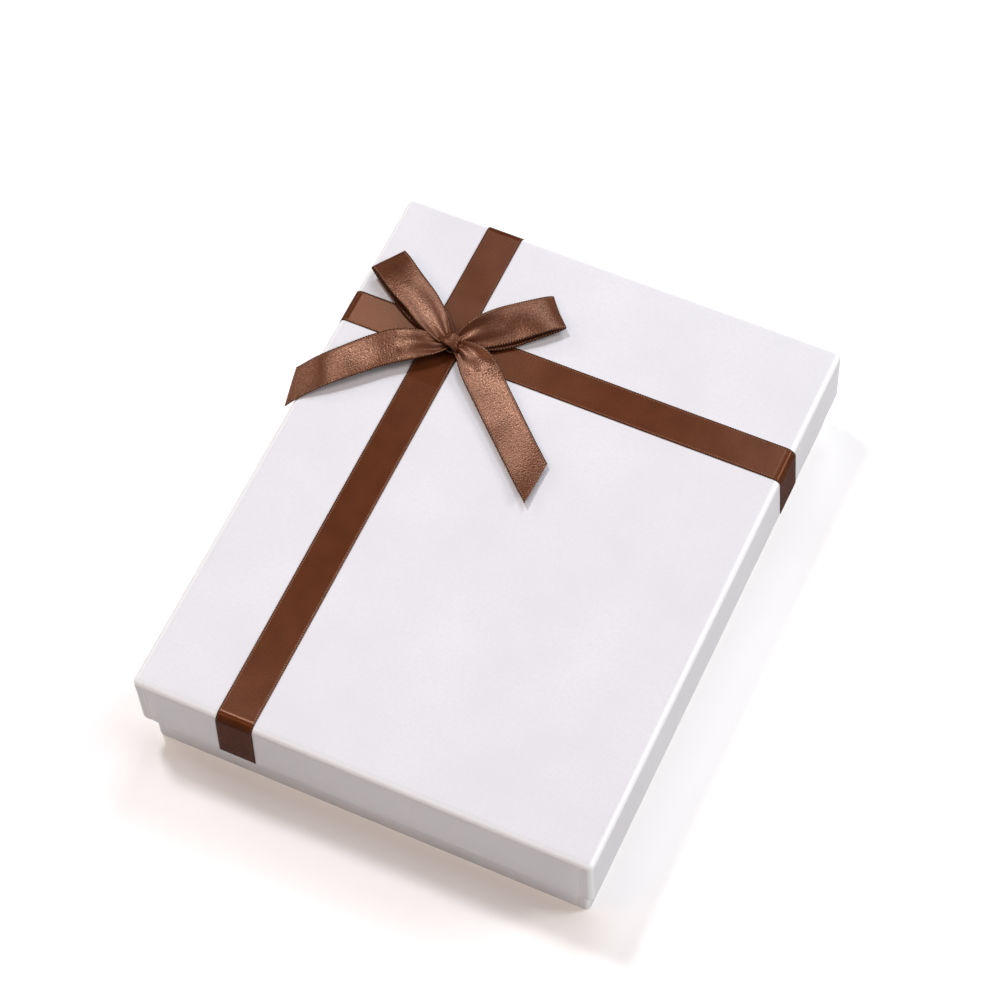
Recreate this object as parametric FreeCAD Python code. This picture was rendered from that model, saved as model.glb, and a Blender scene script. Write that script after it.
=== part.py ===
import FreeCAD, Part
import math
import os

# A rigid jewellery gift box: a wrapped greyboard base, a velvet insert, a soft cover sheet and a
# lift-off lid that carries a ribbon cross and a bow.
# Millimetres. The origin is the centre of the base's underside, +Z is up, +Y runs along the length.
# Seen from the front (-Y), the bow sits towards the back left.

Vector = FreeCAD.Vector
UP = Vector(0, 0, 1)

# --- The box ---
box_width = 125.0          # across the lid, paper to paper
box_length = 160.0         # along the lid
box_height = 32.5          # table to the lid's top
lid_depth = 19.0           # height of the lid's outside wall
board = 1.2                # greyboard
paper = 0.2                # wrap paper
stay_paper = 0.1           # gummed paper over the board's corners
lid_edge_radius = 1.9      # the wrapped lid's edges and corners
base_edge_radius = 1.6     # the wrapped base's edges and corners
lid_turn_in = 13.0         # how far the lid's wrap runs up inside the wall
base_turn_in = 9.0         # how far the base's wrap runs down inside the wall
inner_radius = 0.6         # inside corners of both trays
liner = 0.15               # paper glued inside the lid's top and the base's floor
liner_margin = 0.4         # gap between a liner and the walls round it
stay_leg = 14.0            # how far a corner stay reaches along each wall
stay_margin = 1.0          # a stay stops this far short of the rim and of the rounded edge

# --- Ribbons on the lid ---
ribbon_width = 10.0
ribbon = 0.25              # ribbon thickness
ribbon_turn_in = 7.0       # how far a ribbon's end runs up inside the lid
lengthwise_x = -33.8       # the middle of the front-to-back ribbon
crosswise_y = 42.0         # the middle of the side-to-side ribbon
hump_ramp = 1.5            # length of the slope where one ribbon climbs over the other
lid_clearance = 0.3        # between the ribbon's turned-in ends and the base

# --- Insert and cover sheet ---
insert_card = 0.8
insert_foam = 15.5
velvet = 0.6
insert_clearance = 0.4     # insert to base wall, each side
cover_sheet = 3.0
cover_clearance = 1.2      # cover sheet to base wall, each side
ring_slit = (26.0, 2.4, 9.0)       # long, wide and deep
ring_slit_y = -34.0
ear_slit = (7.0, 1.6, 6.0)
ear_slit_x = 15.0
ear_slit_y = 4.0
chain_notch = (1.6, 9.0, 6.0)      # across, in from the edge, deep
chain_notch_x = 30.0

# --- Bow ---
knot_offset = (2.6, -3.0)  # the knot's middle, from the ribbon crossing
knot_size = (7.4, 7.0, 4.6)
knot_radius = 1.4
glue_radius = 2.2
glue_thickness = 0.5
bow_ribbon = 0.4           # solid thickness of the bow's free ribbon
loop_neck = 1.5            # half width of a loop where the knot grips it
loop_taper = 11.0          # length over which a loop opens to the full width
loop_mouth = 1.2           # height over which a loop's layers leave the knot
left_loop = {"turn": 146.0, "reach": 32.0, "end_z": 3.4, "end_height": 2.2, "lift": 2.4}
right_loop = {"turn": 43.5, "reach": 30.5, "end_z": 3.7, "end_height": 2.2, "lift": 2.4}
tail_gap = 0.9             # lowest gap between a tail and the lid
tail_root_z = 2.6          # height at which the tails leave the knot
left_tail_hump = 3.9
left_tail_overhang = 4.6   # how far the left tail reaches past the lid's side
left_tail_droop = 4.6      # how far its end hangs below the lid's top
right_tail_turn = -42.0
right_tail_length = 51.0
right_tail_cut = 8.5       # how much shorter its other edge is
right_tail_tip_z = 2.4

# --- Sizes that follow ---
wall = paper + board + paper
lid_inset = wall + ribbon + lid_clearance
rim_z = box_height - lid_depth
base_width = box_width - 2 * lid_inset
base_length = box_length - 2 * lid_inset
base_height = box_height - paper - board - liner
floor_z = paper + board + liner
cavity_width = base_width - 2 * wall
cavity_length = base_length - 2 * wall
insert_width = cavity_width - 2 * insert_clearance
insert_length = cavity_length - 2 * insert_clearance
insert_top = floor_z + insert_card + insert_foam + velvet
crossing_top = box_height + 2 * ribbon
knot_x = lengthwise_x + knot_offset[0]
knot_y = crosswise_y + knot_offset[1]
knot_bottom = crossing_top + glue_thickness
far = 2 * (box_width + box_length)


def block(x_low, x_high, y_low, y_high, z_low, z_high):
    """An upright block between two corners."""
    corner = Vector(x_low, y_low, z_low)
    return Part.makeBox(x_high - x_low, y_high - y_low, z_high - z_low, corner)


def centred_block(width, length, z_low, z_high):
    """A block with its middle over the origin."""
    return block(-width / 2, width / 2, -length / 2, length / 2, z_low, z_high)


def rounded_block(width, length, z_low, z_high, radius, rounded_z=None):
    """A centred block with rounded upright corners, and rounded edges at the height rounded_z."""
    shape = centred_block(width, length, z_low, z_high)
    upright = []
    level = []
    for edge in shape.Edges:
        box = edge.BoundBox
        if box.ZLength > 0.5 * (z_high - z_low):
            upright.append(edge)
        elif rounded_z is not None and abs(box.ZMin - rounded_z) < 1e-6:
            level.append(edge)
    return shape.makeFillet(radius, upright + level)


def ring(width, length, thickness, z_low, z_high, radius):
    """A frame of the given outside size and thickness."""
    outside = rounded_block(width, length, z_low, z_high, radius + thickness)
    inside = rounded_block(width - 2 * thickness, length - 2 * thickness, z_low, z_high, radius)
    return outside.cut(inside)


def corner_stays(width, length, z_low, z_high, radius):
    """Four paper strips folded round the upright corners of a board tray."""
    outside = rounded_block(width + 2 * stay_paper, length + 2 * stay_paper,
                            z_low, z_high, radius + stay_paper)
    band = outside.cut(rounded_block(width, length, z_low, z_high, radius))
    stays = []
    for side_x, side_y in ((1, 1), (-1, 1), (-1, -1), (1, -1)):
        corner = block(0, stay_leg + stay_paper, 0, stay_leg + stay_paper, z_low, z_high)
        x_low = width / 2 - stay_leg if side_x > 0 else -width / 2 - stay_paper
        y_low = length / 2 - stay_leg if side_y > 0 else -length / 2 - stay_paper
        corner.translate(Vector(x_low, y_low, 0))
        stays.append(band.common(corner))
    return stays


def build_base():
    """The board tray, its corner stays, its outer wrap and its floor liner."""
    board_width = base_width - 2 * paper
    board_length = base_length - 2 * paper
    board_radius = base_edge_radius - paper
    board_top = base_height - paper
    tray = rounded_block(board_width, board_length, paper, board_top, board_radius, paper)
    hollow = rounded_block(board_width - 2 * board, board_length - 2 * board,
                           paper + board, board_top, inner_radius)
    stays = corner_stays(board_width, board_length, paper + board_radius + stay_margin,
                         board_top - stay_margin, board_radius)
    skin = rounded_block(base_width, base_length, 0, base_height, base_edge_radius, 0)
    skin = skin.cut(tray)
    skin = skin.cut(rounded_block(cavity_width, cavity_length, paper, base_height, inner_radius))
    turned_in = ring(cavity_width + 2 * paper, cavity_length + 2 * paper, paper,
                     base_height - base_turn_in, board_top, inner_radius)
    skin = skin.fuse(turned_in)
    for stay in stays:
        skin = skin.cut(stay)
    nodes = {"base_board": tray.cut(hollow), "base_wrap": skin.removeSplitter()}
    nodes["base_liner"] = rounded_block(cavity_width + 2 * paper - 2 * liner_margin,
                                        cavity_length + 2 * paper - 2 * liner_margin,
                                        paper + board, floor_z, inner_radius)
    for number, stay in enumerate(stays, 1):
        nodes[f"base_corner_stay_{number}"] = stay
    return nodes


def build_lid():
    """The board lid, its corner stays, its outer wrap and the liner inside its top."""
    board_width = box_width - 2 * paper
    board_length = box_length - 2 * paper
    board_radius = lid_edge_radius - paper
    board_low = rim_z + paper
    board_top = box_height - paper
    tray = rounded_block(board_width, board_length, board_low, board_top, board_radius, board_top)
    hollow_width = board_width - 2 * board
    hollow_length = board_length - 2 * board
    hollow = rounded_block(hollow_width, hollow_length, board_low, board_top - board, inner_radius)
    stays = corner_stays(board_width, board_length, board_low + stay_margin,
                         board_top - board_radius - stay_margin, board_radius)
    skin = rounded_block(box_width, box_length, rim_z, box_height, lid_edge_radius, box_height)
    skin = skin.cut(tray)
    mouth = rounded_block(hollow_width - 2 * paper, hollow_length - 2 * paper,
                          rim_z, board_low, inner_radius)
    turned_in = ring(hollow_width, hollow_length, paper, board_low, rim_z + lid_turn_in, inner_radius)
    skin = skin.cut(mouth).fuse(turned_in)
    for stay in stays:
        skin = skin.cut(stay)
    nodes = {"lid_board": tray.cut(hollow), "lid_wrap": skin.removeSplitter()}
    nodes["lid_liner"] = rounded_block(hollow_width - 2 * liner_margin, hollow_length - 2 * liner_margin,
                                       base_height, base_height + liner, inner_radius)
    for number, stay in enumerate(stays, 1):
        nodes[f"lid_corner_stay_{number}"] = stay
    return nodes


def insert_slits():
    """The slits that hold a ring, a pair of earrings and a chain, as solids to cut away."""
    def slit(centre_x, centre_y, size):
        x_half = size[0] / 2
        y_half = size[1] / 2
        return block(centre_x - x_half, centre_x + x_half, centre_y - y_half, centre_y + y_half,
                     insert_top - velvet - size[2], insert_top)
    slits = [slit(0, ring_slit_y, ring_slit)]
    for side in (-1, 1):
        slits.append(slit(side * ear_slit_x, ear_slit_y, ear_slit))
        notch_y = (insert_length - chain_notch[1]) / 2
        slits.append(slit(side * chain_notch_x, notch_y, chain_notch))
    return slits


def build_insert():
    """The card, the slit foam block and its flocked cap."""
    card_top = floor_z + insert_card
    foam_top = card_top + insert_foam
    foam = centred_block(insert_width - 2 * velvet, insert_length - 2 * velvet, card_top, foam_top)
    cap = rounded_block(insert_width, insert_length, card_top, insert_top, 2 * velvet, insert_top)
    cap = cap.cut(foam)
    for slit in insert_slits():
        foam = foam.cut(slit)
        cap = cap.cut(slit)
    card = rounded_block(insert_width, insert_length, floor_z, card_top, 2 * velvet)
    return {"insert_card": card, "insert_foam": foam, "insert_velvet": cap}


def build_cover_sheet():
    """The soft sheet that lies over the jewellery."""
    sheet = rounded_block(cavity_width - 2 * cover_clearance, cavity_length - 2 * cover_clearance,
                          insert_top, insert_top + cover_sheet, inner_radius)
    return {"cover_sheet": sheet}


def band_profile(span, z_low, z_high, radius):
    """A face in the XZ plane: a centred outline with its two upper corners rounded."""
    half = span / 2
    bend = radius * (1 - math.sqrt(0.5))
    edges = [
        Part.makeLine(Vector(-half, 0, z_low), Vector(half, 0, z_low)),
        Part.makeLine(Vector(half, 0, z_low), Vector(half, 0, z_high - radius)),
        Part.Arc(Vector(half, 0, z_high - radius), Vector(half - bend, 0, z_high - bend),
                 Vector(half - radius, 0, z_high)).toShape(),
        Part.makeLine(Vector(half - radius, 0, z_high), Vector(radius - half, 0, z_high)),
        Part.Arc(Vector(radius - half, 0, z_high), Vector(bend - half, 0, z_high - bend),
                 Vector(-half, 0, z_high - radius)).toShape(),
        Part.makeLine(Vector(-half, 0, z_high - radius), Vector(-half, 0, z_low)),
    ]
    return Part.Face(Part.Wire(edges))


def ribbon_band(span):
    """A ribbon over a lid of this span, along X, turned in under the rim at both ends."""
    across = Vector(0, ribbon_width, 0)
    outside = band_profile(span + 2 * ribbon, rim_z - ribbon, box_height + ribbon, lid_edge_radius + ribbon)
    inside = band_profile(span, rim_z, box_height, lid_edge_radius)
    band = outside.extrude(across).cut(inside.extrude(across))
    gap_half = span / 2 - wall - ribbon
    band = band.cut(block(-gap_half, gap_half, 0, ribbon_width, rim_z - ribbon, rim_z))
    for side in (-1, 1):
        low, high = sorted((side * gap_half, side * (gap_half + ribbon)))
        band = band.fuse(block(low, high, 0, ribbon_width, rim_z, rim_z + ribbon_turn_in))
    band.translate(Vector(0, -ribbon_width / 2, 0))
    return band.removeSplitter()


def build_ribbons():
    """The ribbon cross: the lengthwise ribbon climbs over the crosswise one."""
    crosswise = ribbon_band(box_width)
    crosswise.translate(Vector(0, crosswise_y, 0))
    lengthwise = ribbon_band(box_length)
    lengthwise.rotate(Vector(0, 0, 0), UP, 90)
    lengthwise.translate(Vector(lengthwise_x, 0, 0))
    x_low = lengthwise_x - ribbon_width / 2
    y_low = crosswise_y - ribbon_width / 2
    y_high = y_low + ribbon_width
    top = box_height + ribbon
    outline = [Vector(x_low, y_low - hump_ramp, top), Vector(x_low, y_low, top + ribbon),
               Vector(x_low, y_high, top + ribbon), Vector(x_low, y_high + hump_ramp, top)]
    hump = Part.Face(Part.makePolygon(outline + outline[:1])).extrude(Vector(ribbon_width, 0, 0))
    lengthwise = lengthwise.cut(crosswise).fuse(hump).removeSplitter()
    return {"ribbon_lengthwise": lengthwise, "ribbon_crosswise": crosswise}


def upright_prism(outline):
    """A tall prism over a plan outline given as (x, y) pairs."""
    points = [Vector(x, y, 0) for x, y in outline]
    return Part.Face(Part.makePolygon(points + points[:1])).extrude(UP * far)


def loop_outline(reach, end_z, end_height, lift, inset):
    """The side view of a loop, in the XZ plane, moved in from its outside by the inset."""
    root = Vector(inset, 0, 0)
    half = end_height / 2 - inset
    end_x = reach - end_height / 2
    root_low = Vector(0, 0, tail_root_z + bow_ribbon + inset) + root
    root_high = Vector(0, 0, tail_root_z + bow_ribbon + loop_mouth - inset) + root
    end_low = Vector(end_x, 0, end_z - half)
    end_high = Vector(end_x, 0, end_z + half)
    middle = reach * 0.5
    belly = Vector(middle, 0, tail_gap + bow_ribbon + inset)
    crown = Vector(middle, 0, end_z + lift - inset)
    return Part.Wire([
        Part.Arc(root_low, belly, end_low).toShape(),
        Part.Arc(end_low, Vector(end_x + half, 0, end_z), end_high).toShape(),
        Part.Arc(end_high, crown, root_high).toShape(),
        Part.makeLine(root_high, root_low),
    ])


def bow_loop(turn, reach, end_z, end_height, lift):
    """One loop of the bow: a flattened ring of ribbon that narrows into the knot."""
    half = ribbon_width / 2
    outside = Part.Face(loop_outline(reach, end_z, end_height, lift, 0))
    inside = Part.Face(loop_outline(reach, end_z, end_height, lift, bow_ribbon))
    loop = outside.cut(inside).extrude(Vector(0, ribbon_width, 0))
    loop.translate(Vector(0, -half, 0))
    plan = upright_prism([(0, -loop_neck), (loop_taper, -half), (reach, -half),
                          (reach, half), (loop_taper, half), (0, loop_neck)])
    loop = loop.common(plan)
    loop.rotate(Vector(0, 0, 0), UP, turn)
    loop.translate(Vector(knot_x, knot_y, box_height + ribbon))
    return loop


def thick_curve(points, depth):
    """A strip that follows a smooth curve through (x, z) points, bow_ribbon thick and depth wide in Y."""
    upper = [Vector(x, 0, z) for x, z in points]
    curve = Part.BSplineCurve()
    curve.interpolate(upper)
    top = curve.toShape()
    drop = Vector(0, 0, -bow_ribbon)
    bottom = top.copy()
    bottom.translate(drop)
    first = Part.makeLine(upper[0], upper[0] + drop)
    last = Part.makeLine(upper[-1], upper[-1] + drop)
    return Part.Face(Part.Wire([top, last, bottom, first])).extrude(Vector(0, depth, 0))


def build_left_tail():
    """The tail that crosses the lid to the front left and hangs over its side."""
    lid_edge = knot_x + box_width / 2
    lifted = tail_gap + bow_ribbon
    profile = [(0, tail_root_z), (0.33 * lid_edge, left_tail_hump), (0.8 * lid_edge, lifted + 0.2),
               (lid_edge, lifted - 0.3), (lid_edge + left_tail_overhang, -left_tail_droop)]
    strip = thick_curve([(-x, z) for x, z in profile], far)
    strip.translate(Vector(0, -far / 2, 0))
    # In plan the ribbon runs at 45 degrees, so each step of its edges is the same in X and Y.
    slant = ribbon_width * math.sqrt(0.5)
    shoulder = Vector(-13.5, 0.6, 0)
    heel = shoulder + Vector(slant, -slant, 0)
    long_run = lid_edge + left_tail_overhang + heel.x - 1.5
    short_run = lid_edge + left_tail_overhang + shoulder.x
    outline = [(0, 1.2), (-7, 0.8), (shoulder.x, shoulder.y),
               (shoulder.x - short_run, shoulder.y - short_run),
               (heel.x - long_run, heel.y - long_run), (heel.x, heel.y), (0, -2.2)]
    plan = upright_prism(outline)
    plan.translate(Vector(0, 0, -far / 2))
    tail = strip.common(plan)
    tail.translate(Vector(knot_x, knot_y, box_height + ribbon))
    return tail


def build_right_tail():
    """The tail that runs to the front right, just above the lid, to its slanted cut."""
    lifted = tail_gap + bow_ribbon
    profile = [(0, tail_root_z), (0.35 * right_tail_length, lifted + 0.5),
               (0.6 * right_tail_length, lifted), (right_tail_length, right_tail_tip_z)]
    strip = thick_curve(profile, far)
    strip.translate(Vector(0, -far / 2, 0))
    near_edge = -0.9
    far_edge = near_edge + ribbon_width
    outline = [(0, near_edge), (right_tail_length, near_edge),
               (right_tail_length - right_tail_cut, far_edge), (6.0, far_edge), (0, 2.5)]
    tail = strip.common(upright_prism(outline))
    tail.rotate(Vector(0, 0, 0), UP, right_tail_turn)
    tail.translate(Vector(knot_x, knot_y, box_height + ribbon))
    return tail


def build_bow():
    """The knot, its two loops and two tails, and the glue under the knot."""
    half_x = knot_size[0] / 2
    half_y = knot_size[1] / 2
    knot = block(knot_x - half_x, knot_x + half_x, knot_y - half_y, knot_y + half_y,
                 knot_bottom, knot_bottom + knot_size[2])
    knot = knot.makeFillet(knot_radius, knot.Edges)
    loops = {"bow_loop_left": bow_loop(**left_loop), "bow_loop_right": bow_loop(**right_loop)}
    tails = {"bow_tail_left": build_left_tail(), "bow_tail_right": build_right_tail()}
    nodes = {"bow_knot": knot}
    for name, piece in {**loops, **tails}.items():
        piece = piece.cut(knot)
        for other in nodes.values():
            piece = piece.cut(other)
        nodes[name] = piece
    glue_foot = Vector(knot_x, knot_y, crossing_top)
    nodes["bow_glue_dot"] = Part.makeCylinder(glue_radius, glue_thickness, glue_foot)
    return nodes


def main():
    """Builds every piece and writes one STEP file per node."""
    os.makedirs("parts", exist_ok=True)
    nodes = {**build_base(), **build_insert(), **build_cover_sheet()}
    nodes.update(build_lid())
    nodes.update(build_ribbons())
    nodes.update(build_bow())
    for name, shape in nodes.items():
        shape.exportStep(f"parts/{name}.step")
        box = shape.BoundBox
        print(f"{name:20s} solids {len(shape.Solids)} valid {shape.isValid()} volume {shape.Volume:10.2f}"
              f"  x {box.XMin:7.2f} {box.XMax:7.2f}  y {box.YMin:7.2f} {box.YMax:7.2f}"
              f"  z {box.ZMin:6.2f} {box.ZMax:6.2f}")


main()
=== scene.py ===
import logging
import math
from dataclasses import dataclass, field
from enum import Enum
from typing import Any, Callable, Iterable, Sequence

import bmesh
import bpy
from mathutils import Matrix, Vector, noise


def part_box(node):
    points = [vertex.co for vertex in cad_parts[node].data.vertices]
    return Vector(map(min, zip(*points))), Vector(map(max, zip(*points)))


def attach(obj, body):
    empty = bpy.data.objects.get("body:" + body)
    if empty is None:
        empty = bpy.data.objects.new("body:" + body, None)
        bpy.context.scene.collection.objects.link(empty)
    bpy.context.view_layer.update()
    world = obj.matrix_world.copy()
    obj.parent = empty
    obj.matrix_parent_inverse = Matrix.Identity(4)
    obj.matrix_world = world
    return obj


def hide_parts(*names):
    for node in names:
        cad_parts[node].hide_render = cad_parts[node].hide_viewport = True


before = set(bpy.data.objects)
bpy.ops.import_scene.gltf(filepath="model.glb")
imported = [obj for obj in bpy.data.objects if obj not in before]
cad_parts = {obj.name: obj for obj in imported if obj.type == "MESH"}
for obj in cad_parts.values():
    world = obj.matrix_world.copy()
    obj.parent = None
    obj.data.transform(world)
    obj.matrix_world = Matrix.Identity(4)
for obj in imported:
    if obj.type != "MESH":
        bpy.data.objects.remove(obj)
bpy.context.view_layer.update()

LOG = logging.getLogger("gift_box")
MM = 0.001
UP = Vector((0.0, 0.0, 1.0))
FLAT_MAP = "flat_mm"
Socket = bpy.types.NodeSocket
Value = Socket | float


# --- Small helpers --------------------------------------------------------------------------


def linear_colour(hex_colour: str) -> tuple[float, float, float, float]:
    """Turns an sRGB hex colour into the linear values that shaders take.

    Args:
        hex_colour: the colour as "#RRGGBB".

    Returns:
        Linear red, green and blue, and full opacity.
    """
    channels = [int(hex_colour[i:i + 2], 16) / 255 for i in (1, 3, 5)]
    red, green, blue = [c / 12.92 if c <= 0.04045 else ((c + 0.055) / 1.055) ** 2.4 for c in channels]
    return red, green, blue, 1.0


def add_node(tree: bpy.types.NodeTree, kind: str, inputs: dict[str | int, Any] | None = None,
             **settings: Any) -> bpy.types.Node:
    """Adds a shader node with its settings, and sets or links its inputs.

    Args:
        tree: the material's node tree.
        kind: the node's type, without its ShaderNode prefix.
        inputs: values or output sockets, by input name or number.
        **settings: the node's own properties.

    Returns:
        The new node.
    """
    node = tree.nodes.new("ShaderNode" + kind)
    for key, value in settings.items():
        setattr(node, key, value)
    for key, value in (inputs or {}).items():
        if isinstance(value, Socket):
            tree.links.new(value, node.inputs[key])
        else:
            node.inputs[key].default_value = value
    return node


def new_object(name: str, bm: bmesh.types.BMesh, material: bpy.types.Material) -> bpy.types.Object:
    """Makes a finished object at the origin from a bmesh, and frees the bmesh.

    Args:
        name: the piece's name.
        bm: its shape, in metres in the box's own frame.
        material: its finish.

    Returns:
        The linked object, smooth shaded.
    """
    for face in bm.faces:
        face.smooth = True
    mesh = bpy.data.meshes.new(name)
    bm.to_mesh(mesh)
    bm.free()
    mesh.materials.append(material)
    piece = bpy.data.objects.new(name, mesh)
    bpy.context.scene.collection.objects.link(piece)
    return piece


def thicken(piece: bpy.types.Object, thickness: float, offset: float = 0.0) -> None:
    """Gives a surface its thickness: offset -1 grows it inwards, 0 both ways."""
    solid = piece.modifiers.new("Thickness", "SOLIDIFY")
    solid.thickness = thickness
    solid.offset = offset


def block(low: Vector, high: Vector) -> bmesh.types.BMesh:
    """A new mesh that holds the box between two corners.

    Args:
        low: its lowest corner.
        high: its highest corner.

    Returns:
        The mesh, with six faces.
    """
    bm = bmesh.new()
    place = Matrix.Translation((low + high) / 2) @ Matrix.Diagonal((*(high - low), 1.0))
    bmesh.ops.create_cube(bm, size=1.0, matrix=place)
    return bm


def round_edges(bm: bmesh.types.BMesh, edges: list[bmesh.types.BMEdge], radius: float,
                segments: int) -> None:
    """Rounds edges with arcs of so many segments."""
    bmesh.ops.bevel(bm, geom=edges, offset=radius, segments=segments, profile=0.5, affect="EDGES",
                    material=-1)


def slice_grid(bm: bmesh.types.BMesh, axis: int, places: Iterable[float]) -> None:
    """Cuts edge loops into a mesh where planes across one axis meet it.

    Args:
        bm: the mesh.
        axis: 0, 1 or 2, the axis that the planes stand across.
        places: the planes' places along it.
    """
    normal = Vector([1.0 if i == axis else 0.0 for i in range(3)])
    for place in places:
        everything = bm.verts[:] + bm.edges[:] + bm.faces[:]
        bmesh.ops.bisect_plane(bm, geom=everything, dist=1e-7, plane_co=normal * place, plane_no=normal)


def steps(low: float, high: float, pitch: float) -> list[float]:
    """Even places from low to high, ends included, about a pitch apart."""
    count = max(1, round((high - low) / pitch))
    return [low + (high - low) * i / count for i in range(count + 1)]


def wander(point: Vector, wavelength: float, seed: float) -> float:
    """Smooth noise from -1 to 1 at a point, with swells about one wavelength across."""
    return noise.noise(point / wavelength + Vector((seed, 2.7 * seed, -1.3 * seed)))


def compass(azimuth: float, elevation: float) -> Vector:
    """The direction from the box to a place: degrees round from the front, and degrees up."""
    turn, rise = math.radians(azimuth), math.radians(elevation)
    return Vector((math.sin(turn) * math.cos(rise), -math.cos(turn) * math.cos(rise), math.sin(rise)))


# --- Finishes ---------------------------------------------------------------------------------


class Paint:
    """A new material, with the node patterns that the finishes share."""

    def __init__(self, name: str) -> None:
        """Starts a plain material.

        Args:
            name: the finish's name.
        """
        self.material = bpy.data.materials.new(name)
        self.material.use_nodes = True
        self.tree = self.material.node_tree
        self.shader = self.tree.nodes["Principled BSDF"]
        self.place = add_node(self.tree, "TexCoord").outputs["Object"]

    def noise(self, size_mm: float, detail: float = 2.0, roughness: float = 0.5) -> Socket:
        """Noise through the solid, with swells about so many millimetres across."""
        return self.noise_over(self.place, 1 / (size_mm * MM), detail, roughness)

    def noise_over(self, place: Socket, scale: float, detail: float, roughness: float = 0.5) -> Socket:
        """Noise over any map of places."""
        return add_node(self.tree, "TexNoise", {"Vector": place, "Scale": scale, "Detail": detail,
                                                "Roughness": roughness}).outputs["Fac"]

    def stretch(self, place: Socket, scale: Sequence[float], turn: Sequence[float] = (0, 0, 0)) -> Socket:
        """A map of places, turned and stretched."""
        return add_node(self.tree, "Mapping", {"Vector": place, "Scale": scale, "Rotation": turn}).outputs[0]

    def sum(self, operation: str, *values: Value) -> Socket:
        """One step of arithmetic, by the Math node's own name for it."""
        return add_node(self.tree, "Math", dict(enumerate(values)), operation=operation).outputs[0]

    def spread(self, value: Socket, low: float = 0.0, high: float = 1.0, to_low: Value = 0.0,
               to_high: Value = 1.0) -> Socket:
        """Maps the range from low to high onto the range from to_low to to_high."""
        return add_node(self.tree, "MapRange", {"Value": value, "From Min": low, "From Max": high,
                                                "To Min": to_low, "To Max": to_high}).outputs[0]

    def blend(self, share: Socket, first: str | Socket, second: str | Socket) -> Socket:
        """Goes from one colour to another; each is a hex colour or comes from a node."""
        ends = [linear_colour(c) if isinstance(c, str) else c for c in (first, second)]
        return add_node(self.tree, "Mix", {"Factor": share, 6: ends[0], 7: ends[1]},
                        data_type="RGBA").outputs[2]

    def emboss(self, height: Socket, strength: float, depth_mm: float, invert: bool = False) -> None:
        """Raises the surface where the height is high, or lowers it there."""
        bump = add_node(self.tree, "Bump", {"Height": height, "Strength": strength,
                                            "Distance": depth_mm * MM}, invert=invert)
        self.tree.links.new(bump.outputs[0], self.shader.inputs["Normal"])

    def finish(self, colour: Socket, roughness: Value, constants: dict[str, Any]) -> bpy.types.Material:
        """Gives the shader its colour, roughness and constants.

        Args:
            colour: the base colour.
            roughness: a node's output or a number.
            constants: the shader's other inputs, by name; a hex text is a colour.

        Returns:
            The material.
        """
        self.tree.links.new(colour, self.shader.inputs["Base Color"])
        if isinstance(roughness, Socket):
            self.tree.links.new(roughness, self.shader.inputs["Roughness"])
        else:
            self.shader.inputs["Roughness"].default_value = roughness
        for name, value in constants.items():
            self.shader.inputs[name].default_value = linear_colour(value) if isinstance(value, str) else value
        return self.material


class Weave(Enum):
    """How the ribbon's face lies, which sets how it catches the light; the flat runs also get lighter
    colours, a painted sheen.
    """

    FLAT = "glued flat"
    FREE = "free"


@dataclass(frozen=True)
class WrapPaper:
    """Smooth white wrap paper: coated wood-free paper, calendered, so it has a soft even sheen."""

    name: str = "white coated wrap paper"
    colour: str = "#E8E7EA"
    shade: str = "#E0DFE2"
    # The folds' colour is a painted highlight: whiter than the paper, so the bent edges read brighter than
    # the top.
    fold_highlight: str = "#FFFFFF"
    roughness: float = 0.52
    fold_roughness: float = 0.3
    cloud_mm: float = 22.0
    fibre_mm: float = 0.9
    bump_mm: float = 0.012

    def build(self) -> bpy.types.Material:
        """Faint clouds of tone, a fibre grain drawn coarse enough to show, and a painted highlight on the
        folds, which are also made glossier.

        Returns:
            The material.
        """
        paint = Paint(self.name)
        cloud = paint.noise(self.cloud_mm, 3.0)
        fibre = paint.noise(self.fibre_mm, 4.0, 0.65)
        tone = paint.spread(paint.sum("MULTIPLY", cloud, fibre), 0.12, 0.4)
        fold_highlight = self._fold_share(paint)
        # Painted highlight: the folds are blended towards a whiter colour than the flat panels.
        colour = paint.blend(fold_highlight, paint.blend(tone, self.shade, self.colour), self.fold_highlight)
        grain = paint.spread(fibre, 0.3, 0.7, self.roughness - 0.05, self.roughness + 0.06)
        roughness = paint.spread(fold_highlight, to_low=grain, to_high=self.fold_roughness)
        paint.emboss(fibre, 0.35, self.bump_mm)
        return paint.finish(colour, roughness, {"IOR": 1.48, "Specular IOR Level": 0.4})

    def _fold_share(self, paint: Paint) -> Socket:
        """Where the paper bends: 0 on a flat panel, whose normal lies along an axis, and 1 on a fold.

        Args:
            paint: the paper's material so far.

        Returns:
            The share, from 0 to 1.
        """
        normal = add_node(paint.tree, "TexCoord").outputs["Normal"]
        size = add_node(paint.tree, "VectorMath", {0: normal}, operation="ABSOLUTE").outputs[0]
        axes = add_node(paint.tree, "SeparateXYZ", {0: size}).outputs
        most = paint.sum("MAXIMUM", paint.sum("MAXIMUM", axes["X"], axes["Y"]), axes["Z"])
        return paint.spread(most, 0.995, 0.88)


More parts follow.
